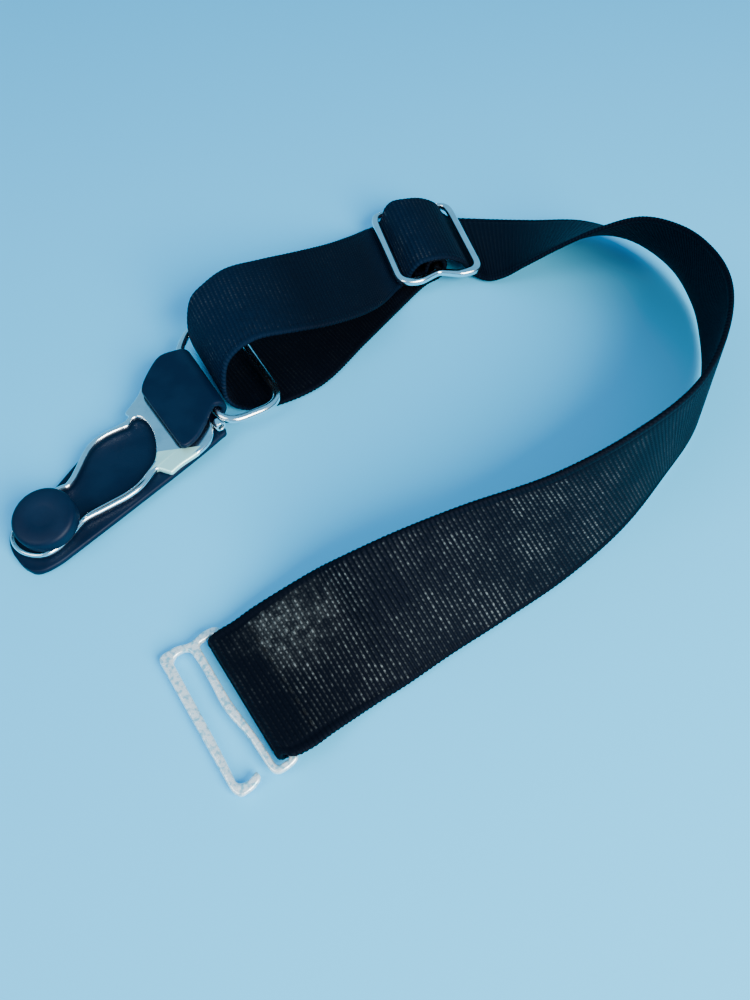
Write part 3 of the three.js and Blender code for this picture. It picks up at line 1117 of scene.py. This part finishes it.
@dataclass
class Strap:
    """The elastic strap, from its hem round the hook, through the slider and round the ring."""

    hook: Hook
    slider: Slider
    thickness: float = 1.1
    rib_pitch: float = 0.86
    rib_depth: float = 0.05
    serration: float = 0.06
    selvedge: float = 1.5
    selvedge_step: float = 0.3
    selvedge_section: tuple[tuple[float, float], ...] = (
        (0.0, 0.0), (0.12, 0.62), (0.42, 0.93), (0.9, 0.97), (1.3, 0.86), (1.5, 0.74),
    )
    face_rise: float = 0.88
    flat_width: float = 24.0
    hem: tuple[HemRow, ...] = (
        HemRow(9.0, 0.62, 0, 23.6),
        HemRow(5.5, 0.62, 0, 23.6),
        HemRow(1.95, 0.62, 0, 23.6),
        HemRow(0.85, 1.02, 0, 23.6),
        HemRow(0.4, 2.09, 0, 23.6),
        HemRow(0.85, 3.16, 0, 23.6),
        HemRow(1.95, 3.62, 0, 25.0, -0.7),
        HemRow(5.0, 3.5, 0, 25.6, -0.8),
        HemRow(9.2, 3.4, 5, 25.1, -0.45),
    )
    long_run: tuple[BandRow, ...] = (
        BandRow(-4.6, 66.1, 4.8, 119.7, 20.0, 23.8),
        BandRow(-0.3, 67.6, 6.6, 122.6, 31.0, 23.3),
        BandRow(8.4, 71.5, 9.0, 124.0, 45.5, 23.0),
        BandRow(17.4, 75.6, 10.5, 126.5, 57.0, 23.2),
        BandRow(30.8, 82.1, 11.9, 135.2, 71.5, 23.5),
        BandRow(43.0, 90.3, 13.6, 150.5, 81.5, 24.5),
        BandRow(53.6, 101.0, 13.9, 147.0, 88.6, 24.5),
        BandRow(62.0, 113.7, 13.6, 139.4, 86.5, 24.5),
        BandRow(66.9, 128.0, 13.1, 155.9, 84.7, 24.5),
        BandRow(67.7, 138.1, 12.8, 181.5, 78.5, 24.5),
        BandRow(66.1, 148.0, 12.6, 196.5, 66.7, 24.5),
        BandRow(61.3, 156.8, 12.1, 210.6, 51.1, 24.5),
        BandRow(54.0, 162.9, 10.1, 228.6, 34.7, 24.5),
        BandRow(45.2, 167.1, 7.1, 244.3, 20.5, 24.1),
        BandRow(36.1, 168.9, 3.5, 258.1, 12.0, 23.8),
        BandRow(30.1, 169.3, 1.7, 266.4, 4.7, 23.6),
        BandRow(25.5, 169.4, 1.2, 273.1, 1.5, 23.5),
    )
    over_slider: tuple[SliderRow, ...] = (
        SliderRow(9.6, -1.0, 1.3, 23.4),
        SliderRow(7.5, -0.1, 2.6, 22.8),
        SliderRow(5.9, 0.0, 5.1, 23.0),
        SliderRow(4.0, 0.0, 6.5, 23.0),
        SliderRow(1.4, 0.0, 7.5, 23.0),
        SliderRow(-1.6, 0.0, 7.8, 23.0),
        SliderRow(-4.6, 0.3, 7.2, 23.6),
        SliderRow(-6.1, 0.4, 5.6, 23.6),
        SliderRow(-6.8, 0.3, 3.8, 22.8),
        SliderRow(-8.2, 0.0, 2.15, 22.8),
        SliderRow(-10.0, -1.0, 2.05, 23.2),
    )
    end_loop: tuple[BandRow, ...] = (
        BandRow(0.6, 162.4, 2.9, 286.0, 0.0, 24.0),
        BandRow(-2.7, 154.8, 6.5, 287.1, 0.0, 24.6),
        BandRow(-7.1, 148.8, 9.1, 288.0, 0.5, 24.8),
        BandRow(-13.8, 142.7, 11.8, 289.2, 1.1, 24.8),
        BandRow(-20.4, 139.3, 12.9, 290.3, 1.6, 24.3),
        BandRow(-27.3, 136.4, 13.2, 291.4, 2.0, 23.6),
        BandRow(-31.2, 133.3, 12.3, 293.0, 1.8, 22.6),
        BandRow(-33.4, 131.2, 10.6, 295.5, 1.0, 22.0),
        BandRow(-34.0, 127.9, 7.0, 298.0, -0.4, 19.8),
        BandRow(-33.5, 126.8, 3.6, 298.5, 0.0, 18.2),
        BandRow(-32.0, 126.9, 1.35, 300.0, 0.0, 18.8),
        BandRow(-28.6, 128.4, 0.68, 303.0, 0.0, 22.0),
        BandRow(-18.9, 134.3, 0.68, 308.0, 0.0, 23.6),
        BandRow(-8.2, 148.4, 0.68, 304.0, 0.0, 23.6),
        BandRow(-0.4, 157.9, 0.66, 296.0, 0.0, 23.0),
    )
    sewn_end: tuple[SliderRow, ...] = (
        SliderRow(-2.6, -0.6, 0.66, 20.5),
        SliderRow(0.6, 0.0, 0.7, 19.0),
        SliderRow(1.9, 0.0, 1.9, 18.6),
        SliderRow(2.1, 0.0, 4.0, 18.6),
        SliderRow(1.4, 0.0, 5.3, 18.6),
        SliderRow(0.0, 0.0, 5.6, 18.6),
        SliderRow(-1.4, 0.0, 5.3, 18.6),
        SliderRow(-2.1, 0.0, 4.0, 18.6),
        SliderRow(-2.5, 0.0, 2.6, 18.6),
        SliderRow(-5.2, 0.0, 2.1, 18.6),
    )
    # Painted glints on the beads and a painted blue sheen by length along the strap, standing in for how the
    # light falls on each part; the skew is real.
    shine: tuple[Shine, ...] = (
        Shine(0, 0.15), Shine(15.5, 0.15), Shine(17.5, 1.0), Shine(24, 0.95, 0.0, 0.1),
        Shine(32, 0.75, 0.0, 0.7), Shine(44, 0.65, 0.0, 1.3), Shine(56, 0.95, 0.0, 2.5),
        Shine(64, 1.0, 0.0, 3.3), Shine(72, 0.95, 0.0, 4.5), Shine(80, 0.55, 0.0, 5.6),
        Shine(88, 0.25, 0.0, 6.2), Shine(96, 0.15, 0.0, 5.5), Shine(108, 0.1, 0.0, 3.0),
        Shine(125, 0.05, 0.0, 0.0), Shine(165, 0.05, 0.25), Shine(205, 0.05, 0.2),
        Shine(214, 0.06, 0.3), Shine(219, 0.2, 0.8), Shine(222, 0.5, 1.0), Shine(227, 0.5, 1.0),
        Shine(231, 0.1, 0.7), Shine(240, 0.05, 0.25), Shine(262, 0.05, 0.25), Shine(272, 0.15, 0.8),
        Shine(284, 0.3, 1.5), Shine(294, 0.1, 1.5), Shine(302, 0.0, 0.1), Shine(372, 0.0),
    )
    # The underside's faint painted glint: painted shade, as light doesn't reach it.
    under_painted_glint: float = 0.04
    face_steps: int = 16
    stitch_rows: tuple[float, ...] = (17.0,)
    stitch_pitch: float = 2.1
    stitch_size: tuple[float, float, float] = (1.5, 0.4, 0.24)
    path: BandPath = field(init=False)

    def __post_init__(self) -> None:
        """Works out the strap's path."""
        rows = [self.hook.hem_row(row) for row in self.hem]
        rows += [self._band_row(row) for row in self.long_run]
        rows += [self.slider.strap_row(row) for row in self.over_slider]
        rows += [self._band_row(row) for row in self.end_loop]
        rows += [self.slider.strap_row(row) for row in self.sewn_end]
        self.path = BandPath(rows, self._skew)

    @staticmethod
    def _band_row(row: BandRow) -> tuple[Vector, Vector]:
        """Gives the middle and the span of a row on the floor's axes."""
        return Vector((row.x, row.y, row.z)), unit(row.across, row.lift) * row.width

    def _section(self, ring: int, length: float, reach: float) -> list[SectionPoint]:
        """Gives the webbing's section, with a corded selvedge and ribs on alternate rings.

        Args:
            ring: The section's number along the strap.
            length: Its distance from the strap's start.
            reach: Half of the strap's width there.

        Returns:
            The points round the section.
        """
        sign = 1 if ring % 2 == 0 else -1
        ridge, tooth = sign * self.rib_depth, sign * self.serration
        half = self.thickness / 2
        upper = [(-1.0, inset + tooth, rise * half) for inset, rise in self.selvedge_section]
        face_share = 1 - (self.selvedge + self.selvedge_step) / reach
        for step in range(self.face_steps + 1):
            share = -1 + 2 * step / self.face_steps
            upper.append((share * face_share, 0.0, half * self.face_rise + ridge))
        upper += [(1.0, -inset - tooth, rise * half) for inset, rise in reversed(self.selvedge_section)]
        # The upper face takes this length's painted glint and painted sheen; the underside only a faint
        # painted glint.
        shine = self._shine(length)
        points = [
            SectionPoint(share, shift, height, shine.painted_glint, shine.painted_sheen) for share, shift, height in upper
        ]
        points += [
            SectionPoint(share, shift, -height, self.under_painted_glint)
            for share, shift, height in reversed(upper[1:-1])
        ]
        return points

    def _shine(self, length: float) -> Shine:
        """Gives the shine at a length along the strap.

        Args:
            length: Distance from the strap's start.

        Returns:
            The shine, between the two nearest rows.
        """
        for before, after in zip(self.shine, self.shine[1:]):
            if length <= after.length:
                share = (length - before.length) / (after.length - before.length)
                return Shine(*(low + (high - low) * share for low, high in zip(before, after)))
        return self.shine[-1]

    def _skew(self, length: float) -> float:
        """Gives how far the ribs are skewed at a length along the strap."""
        return self._shine(length).skew

    def build(self, webbing: bpy.types.Material, thread: bpy.types.Material) -> bpy.types.Object:
        """Builds the strap and its stitches.

        Args:
            webbing: The strap's finish.
            thread: The stitches' finish.

        Returns:
            The strap.
        """
        rings = 2 * round(self.path.length / self.rib_pitch) + 1
        strap = wrapped_band("webbing_strap", self.path, rings, self._section)
        dress(strap, webbing, "elastic_strap")
        stitches = dress(self._stitches(), thread)
        LOG.info("strap: %.1f mm long", self.path.length)
        return strap

    def _stitches(self) -> bpy.types.Object:
        """Sews rows of short stitches across the hem.

        Returns:
            The stitches as one piece.
        """
        mesh = bmesh.new()
        for length in self.stitch_rows:
            place = self.path.place(length)
            count = int(2 * (place.reach - self.selvedge) / self.stitch_pitch)
            for number in range(count):
                across = (number - (count - 1) / 2) * self.stitch_pitch
                middle = place.middle + place.across * across + place.face * (self.thickness / 2)
                made = bmesh.ops.create_uvsphere(mesh, u_segments=8, v_segments=6, radius=0.5)
                along = place.face.cross(place.across)
                turn = Matrix((place.across, along, place.face)).transposed().to_4x4()
                matrix = Matrix.Translation(middle) @ turn @ Matrix.Diagonal((*self.stitch_size, 1.0))
                bmesh.ops.transform(mesh, matrix=to_frame(matrix), verts=made["verts"])
        return finished("hem_stitches", mesh)


@dataclass
class Ring:
    """The ring of round wire between the strap's loop and the clip."""

    radius: float = 0.85
    corner_steps: int = 10
    corners: tuple[RingCorner, ...] = (
        RingCorner(-18.1, 118.8, 3.2, 5.0),
        RingCorner(-29.0, 111.6, 4.26, 4.6),
        RingCorner(-40.8, 130.6, 4.6, 3.4),
        RingCorner(-39.1, 138.4, 4.5, 2.8),
        RingCorner(-31.9, 142.1, 4.2, 5.0),
    )

    def build(self, metal: bpy.types.Material) -> bpy.types.Object:
        """Builds the ring.

        Args:
            metal: Its finish.

        Returns:
            The piece.
        """
        points = rounded(self.corners, self.corner_steps, most=1.0)
        return dress(wire("ring_wire", points, self.radius), metal, "wire_ring")


@dataclass
class Clip(Placed):
    """The clip: its frame with the keyhole, its folded tongue and its button."""

    x: float = -58.0
    y: float = 88.86
    z: float = 0.32
    heading: float = 50.0
    rise: float = 2.3
    tongue_thickness: float = 1.3
    end_reach: float = 8.0
    end_width: float = 13.8
    end_side: float = 0.2
    end_skew: float = 2.0
    end_squareness: float = 2.5
    end_shares: tuple[float, ...] = (1, 0.985, 0.95, 0.88, 0.76, 0.6, 0.38, 0)
    end_tip_width: float = 1.6
    frame_bottom: float = 1.6
    frame_thickness: float = 1.2
    frame_rounding: float = 0.5
    crease_point: tuple[float, float] = (23.3, -2.4)
    crease_heading: float = 228.4
    crease_slope: float = 0.04
    # The corner past the crease gets a painted highlight within this reach of this middle, in millimetres.
    painted_highlight_middle: tuple[float, float] = (24.8, -6.2)
    painted_highlight_reach: float = 4.8
    keyhole_far: tuple[tuple[float, float], ...] = (
        (-5.6, 3.0), (-3.4, 4.8), (0.2, 5.8), (3.8, 5.7), (6.2, 5.0), (7.6, 4.4), (9.4, 4.8), (11.8, 6.0),
        (14.7, 7.6), (16.8, 8.4), (19.6, 8.4), (22.3, 7.6), (24.2, 6.9), (25.6, 7.5), (26.6, 7.3),
    )
    keyhole_near: tuple[tuple[float, float], ...] = (
        (-5.7, -1.6), (-4.3, -3.5), (-2.1, -4.2), (0.0, -4.1), (2.6, -3.6), (4.9, -3.0), (7.1, -3.2),
        (10.2, -4.0), (13.3, -4.8), (16.1, -5.0), (18.9, -4.4), (21.9, -3.4), (24.7, -0.5), (26.5, 2.6),
    )
    button_tip: tuple[float, float] = (-6.2, 0.7)
    ring_tip: tuple[float, float] = (27.2, 5.8)
    rail_points: int = 120
    look_ahead: float = 0.002
    far_rail: float = 1.1
    near_rail: float = 1.4
    thin_rail: float = 0.8
    thin_from: float = 8.0
    thin_run: float = 5.0
    far_rail_end: float = 22.5
    near_rail_end: float = 19.0
    plate: Outline = (
        (24.6, 8.3, 0.3), (25.8, 8.6, 0.3), (25.8, 9.9, 0.5), (30.5, 11.3, 1.5), (34.6, 13.8, 0.8),
        (37.9, 13.0, 1.2), (35.2, -5.0, 1.0), (33.9, -7.1, 1.2), (31.4, -8.6, 1.5), (28.4, -8.8, 1.5),
        (24.4, -8.1, 1.2), (21.8, -8.1, 0.5), (20.8, -5.3, 0.5),
    )
    window: Outline = ((32.2, 11.0, 0.6), (27.6, -5.2, 0.6), (32.5, -5.2, 0.6), (35.6, 11.4, 0.6))
    roll_place: tuple[float, float, float] = (35.22, -7.74, 2.86)
    roll_heading: float = 80.0
    roll_length: float = 1.7
    roll_radii: tuple[float, float] = (0.62, 1.05)
    roll_bevel: float = 0.12
    sharp_angle: float = 1.0
    roll_steps: int = 32
    strip: tuple[TongueRow, ...] = (
        TongueRow(5.0, 0.1, 0.65, 90, 14.2),
        TongueRow(15.0, 0.85, 0.65, 90, 16.8),
        TongueRow(27.0, 0.65, 0.65, 89, 17.5),
        TongueRow(35.0, 0.3, 0.65, 85, 17.0),
        TongueRow(37.6, 1.0, 0.65, 79, 18.4),
    )
    fold: TongueRow = TongueRow(40.1, 4.4, 2.5, 72, 17.4)
    fold_radius: float = 1.85
    fold_steps: int = 6
    tab: tuple[TongueRow, ...] = (
        TongueRow(36.5, 4.3, 4.15, 72, 21.0),
        TongueRow(33.4, 3.5, 3.8, 73, 21.2),
        TongueRow(30.8, 2.7, 3.75, 74, 19.8),
        TongueRow(29.5, 2.25, 3.75, 75, 18.3),
        TongueRow(28.9, 2.05, 3.75, 75, 17.0),
    )
    tongue_edge: tuple[tuple[float, float], ...] = (
        (0.0, 0.0), (0.03, 0.5), (0.14, 0.8), (0.32, 0.95), (0.6, 1.0),
    )
    tongue_step: float = 0.5
    button_foot: tuple[float, float, float] = (0.75, 0.0, 0.0)
    lean_heading: float = 209.0
    lean_angle: float = 11.6
    button_profile: tuple[tuple[float, float], ...] = (
        (0.0, 0.9), (1.9, 0.9), (1.9, 3.9), (2.2, 4.15), (5.2, 4.15), (5.5, 4.25), (5.67, 4.5), (5.7, 4.9),
        (5.7, 6.3), (5.64, 6.65), (5.45, 6.95), (5.1, 7.17), (4.6, 7.28), (2.6, 7.3), (2.2, 7.22),
        (1.8, 7.18), (0.0, 7.18),
    )
    button_steps: int = 72

    def _keyhole(self, offset: float = 0.0) -> list[tuple[Vector, bool]]:
        """Gives the keyhole's outline, or the line that runs round outside it.

        Args:
            offset: Width of the far rail where the outside line is wanted, or 0 for the hole itself.

        Returns:
            Each point, and whether it is part of the two rails.
        """
        corners = [self.ring_tip, *reversed(self.keyhole_far), self.button_tip, *self.keyhole_near]
        curve = Spline([Vector((x, y, 0.0)) for x, y in corners], closed=True)
        points = []
        for number in range(self.rail_points):
            share = number / self.rail_points
            here = curve.point(share)
            ahead = curve.point((share + self.look_ahead) % 1.0) - here
            outward = ahead.cross(Vector((0, 0, 1))).normalized()
            near = min(max(0.5 - outward.y, 0.0), 1.0)
            width = offset + (self.near_rail - self.far_rail) * near
            round_button = min(max((self.thin_from - here.x) / self.thin_run, 0.0), 1.0)
            width += (self.thin_rail - width) * round_button
            place = here + (outward * width if offset else Vector())
            rail_end = self.far_rail_end if place.y > 0 else self.near_rail_end
            points.append((place.xy, place.x < rail_end))
        return points

    def _frame_outlines(self) -> list[list[Vector]]:
        """Gives the frame's outline, its keyhole and its window.

        Returns:
            The three outlines on the clip's axes.
        """
        rails = [(point.x, point.y, 0.0) for point, is_rail in self._keyhole(self.far_rail) if is_rail]
        keyhole = [point for point, _ in self._keyhole()]
        return [rounded(rails + list(reversed(self.plate))), keyhole, rounded(self.window)]

    def _crease(self, data: bpy.types.Mesh) -> None:
        """Bends the frame's near corner down a little along a crease and marks it for a painted highlight.

        Args:
            data: The frame's mesh.
        """
        move = to_frame(self.place)
        point, middle = (move @ Vector((*spot, 0.0)) for spot in (self.crease_point, self.painted_highlight_middle))
        toward = (move.to_3x3() @ unit(self.crease_heading)).normalized()
        mesh = bmesh.new()
        mesh.from_mesh(data)
        wear_and_painted_highlight = mesh.faces.layers.float.new("wear_and_painted_highlight")
        everything = mesh.verts[:] + mesh.edges[:] + mesh.faces[:]
        bmesh.ops.bisect_plane(mesh, geom=everything, plane_co=point, plane_no=toward)

        def past(place: Vector) -> float:
            """Gives how far a place is past the crease.

            Args:
                place: The place, in the frame's metres.

            Returns:
                The distance, or 0 outside the corner with the painted highlight.
            """
            inside = (place - middle).length < self.painted_highlight_reach * MM
            return max((place - point).dot(toward), 0.0) if inside else 0.0

        # Faces past the crease carry the painted highlight.
        for face in mesh.faces:
            face[wear_and_painted_highlight] = 1.0 if past(face.calc_center_median()) > 0 else 0.0
        for vert in mesh.verts:
            vert.co.z -= past(vert.co) * self.crease_slope
        mesh.to_mesh(data)
        mesh.free()

    def _hinge_roll(self) -> bpy.types.Object:
        """Rolls the end of the frame's far bar into a short open tube.

        Returns:
            The piece.
        """
        inner, outer = self.roll_radii
        corners = [(inner, 0.0), (outer, 0.0), (outer, self.roll_length), (inner, self.roll_length)]
        mesh = spun(corners, self.roll_steps, closed=True)
        sharp = [edge for edge in mesh.edges if edge.calc_face_angle(0.0) > self.sharp_angle]
        bmesh.ops.bevel(
            mesh, geom=sharp, offset=self.roll_bevel, segments=2, profile=0.5, affect="EDGES", material=-1
        )
        bmesh.ops.recalc_face_normals(mesh, faces=mesh.faces)
        turn = unit(self.roll_heading).to_track_quat("Z", "Y").to_matrix().to_4x4()
        place = self.place @ Matrix.Translation(self.roll_place) @ turn
        bmesh.ops.transform(mesh, matrix=to_frame(place), verts=mesh.verts)
        return finished("hinge_roll", mesh)

    def _tongue_rows(self) -> list[tuple[Vector, Vector]]:
        """Gives the tongue's rows, from its round end over the fold to the tab.

        Returns:
            The middle and the span of each row, on the floor's axes.
        """
        rows = []
        for share in self.end_shares:
            rounding = (1 - share**self.end_squareness) ** (1 / self.end_squareness)
            side = self.end_side - self.end_skew * share**4
            width = max(self.end_width * rounding, self.end_tip_width)
            rows.append(TongueRow(-share * self.end_reach, side, self.tongue_thickness / 2, 90, width))
        rows += self.strip
        for step in range(self.fold_steps + 1):
            turn = math.pi * (step / self.fold_steps - 0.5)
            forward = unit(self.fold.across - 90) * self.fold_radius * math.cos(turn)
            rows.append(
                self.fold._replace(
                    x=self.fold.x + forward.x,
                    y=self.fold.y + forward.y,
                    z=self.fold.z + self.fold_radius * math.sin(turn),
                )
            )
        rows += self.tab
        turn = self.place.to_3x3()
        return [
            (self.place @ Vector((row.x, row.y, row.z)), turn @ (unit(row.across) * row.width))
            for row in rows
        ]

    def _tongue_section(self, _ring: int, _length: float, reach: float) -> list[SectionPoint]:
        """Gives the tongue's section, with rounded edges.

        Args:
            _ring: The section's number, which isn't needed.
            _length: Its distance from the tongue's end, which isn't needed.
            reach: Half of the tongue's width there.

        Returns:
            The points round the section.
        """
        half = self.tongue_thickness / 2
        upper = [(-1.0, min(inset, reach), rise * half) for inset, rise in self.tongue_edge]
        upper += [(share / 4, 0.0, half) for share in range(-3, 4)]
        upper += [(1.0, -min(inset, reach), rise * half) for inset, rise in reversed(self.tongue_edge)]
        points = [SectionPoint(share, shift, height) for share, shift, height in upper]
        points += [SectionPoint(share, shift, -height) for share, shift, height in reversed(upper[1:-1])]
        return points

    def _button(self) -> bpy.types.Object:
        """Spins the button and leans it on its foot.

        Returns:
            The piece.
        """
        mesh = spun(self.button_profile, self.button_steps, closed=False)
        lean = Matrix.Rotation(math.radians(self.lean_angle), 4, unit(self.lean_heading + 90))
        place = self.place @ Matrix.Translation(self.button_foot) @ lean
        bmesh.ops.transform(mesh, matrix=to_frame(place), verts=mesh.verts)
        return finished("round_button", mesh)

    def build(self, metal: bpy.types.Material, rubber: bpy.types.Material) -> None:
        """Builds the clip's pieces.

        Args:
            metal: The frame's finish.
            rubber: The tongue's and the button's finish.
        """
        lifted = self.place @ Matrix.Translation((0, 0, self.frame_bottom))
        plate = pressed_plate(
            "keyhole_frame", self._frame_outlines(), self.frame_thickness, self.frame_rounding, lifted
        )
        self._crease(plate.data)
        dress(plate, metal, "clip_frame")
        dress(self._hinge_roll(), metal)
        path = BandPath(self._tongue_rows())
        rings = round(path.length / self.tongue_step)
        tongue = wrapped_band("rubber_tongue", path, rings, self._tongue_section)
        dress(tongue, rubber, "clip_tongue")
        dress(self._button(), rubber, "grip_button")


@dataclass
class Studio:
    """The floor, the lights and the camera at the photograph's angle."""

    focal_share: float = 0.870
    camera_pitch: float = 53.5
    camera_height: float = 130.7
    sensor: float = 36.0
    lights: tuple[SoftLight, ...] = (
        SoftLight("key", (290, -350, 300), 330, 7.0, (1.0, 0.98, 0.94)),
        SoftLight("fill", (-330, -200, 400), 300, 1.2, (0.9, 0.96, 1.0)),
    )
    sky: Colour = (0.16, 0.58, 1.0, 1.0)
    sky_strength: float = 0.85
    floor_reach: float = 1.6

    def build(self, floor: bpy.types.Material) -> None:
        """Sets up everything that isn't the object.

        Args:
            floor: The floor's finish.
        """
        self._floor(floor)
        for light in self.lights:
            self._light(light)
        world = bpy.data.worlds.new("studio")
        bpy.context.scene.world = world
        world.use_nodes = True
        background = world.node_tree.nodes["Background"]
        background.inputs["Color"].default_value = self.sky
        background.inputs["Strength"].default_value = self.sky_strength
        self._camera()

    def _floor(self, material: bpy.types.Material) -> None:
        """Lays the floor at height 0.

        Args:
            material: Its finish.
        """
        mesh = bmesh.new()
        bmesh.ops.create_grid(mesh, x_segments=4, y_segments=4, size=self.floor_reach)
        floor = finished("floor", mesh)
        floor.data.materials.append(material)

    @staticmethod
    def _light(light: SoftLight) -> None:
        """Hangs a square soft light that faces the object.

        Args:
            light: The light's place, size, power and colour.
        """
        data = bpy.data.lights.new(light.name, "AREA")
        data.size, data.energy, data.color = light.size * MM, light.power, light.colour
        lamp = added(light.name, data)
        lamp.location = Vector(light.place) * MM
        lamp.rotation_euler = (-lamp.location).to_track_quat("-Z", "Y").to_euler()

    def _camera(self) -> None:
        """Places the camera as the photograph's was."""
        data = bpy.data.cameras.new("camera")
        data.sensor_width = self.sensor
        data.lens = self.focal_share * self.sensor
        data.clip_start, data.clip_end = 0.01, 10.0
        camera = added("camera", data)
        camera.location = (Vector((0, 0, self.camera_height)) - BASE_CENTRE) * MM
        camera.rotation_euler = (math.radians(90 - self.camera_pitch), 0, 0)
        bpy.context.scene.camera = camera


def main() -> None:
    """Builds the pieces in order."""
    logging.basicConfig(level=logging.INFO, format="%(name)s: %(message)s")
    bright = MetalFinish(
        "bright_nickel",
        colour=(0.92, 0.95, 0.92, 1.0),
        tarnish_and_reflection=(0.76, 0.81, 0.80, 1.0),
        cloud_scale=260.0,
        smooth=0.12,
        rough=0.22,
        grain_height=0.006 * MM,
    ).material()
    satin = MetalFinish(
        "satin_nickel",
        colour=(0.97, 1.0, 0.95, 1.0),
        # Cyan tarnish: partly real mottling, partly a painted reflection of the blue floor.
        tarnish_and_reflection=(0.24, 0.58, 0.66, 1.0),
        cloud_scale=1300.0,
        smooth=0.22,
        rough=0.36,
        grain_height=0.05 * MM,
        metallic=0.5,
    ).material()
    Studio().build(FloorFinish().material())
    hook, slider = Hook(), Slider()
    Strap(hook, slider).build(WebbingFinish().material(), ThreadFinish().material())
    hook.build(satin)
    slider.build(bright)
    Ring().build(bright)
    Clip().build(bright, RubberFinish().material())


if __name__ == "__main__":
    main()
